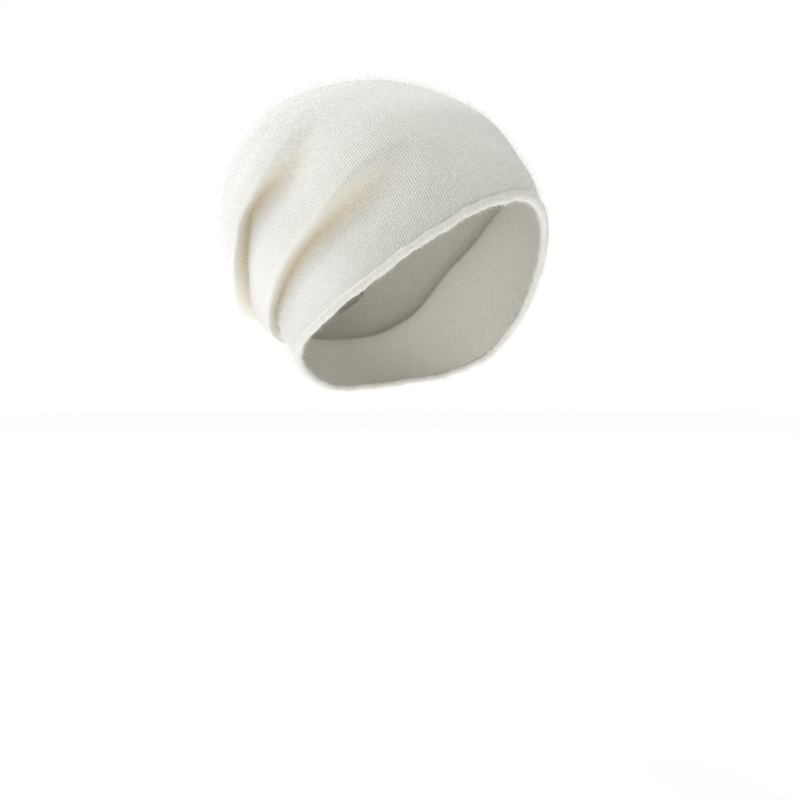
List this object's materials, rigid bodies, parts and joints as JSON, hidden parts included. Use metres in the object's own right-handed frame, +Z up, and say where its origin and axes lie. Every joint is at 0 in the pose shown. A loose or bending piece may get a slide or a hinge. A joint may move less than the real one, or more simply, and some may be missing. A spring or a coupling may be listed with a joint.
{
  "type": "knitted slouch hat with rolled edge",
  "caption": "Slouchy knit hat in fine stockinette, its full crown folding towards the nape, with a self-rolled edge.",
  "frame": {"origin": "the middle of the head opening, level with the ears, where a head goes in", "axes": "+Z up as worn; the wearer looks along -Y, so +Y points out of the back of the hat; the wearer's left is +X"},
  "size_m": [0.1676, 0.2574, 0.2135],
  "materials": {
    "knit": "soft matt fine stockinette, right side out",
    "curl": "soft matt fine stockinette, purl side out, slightly fuzzy"
  },
  "bodies": {
    "root": {"crown": "knit", "rolled_edge": "curl"}
  },
  "joints": []
}
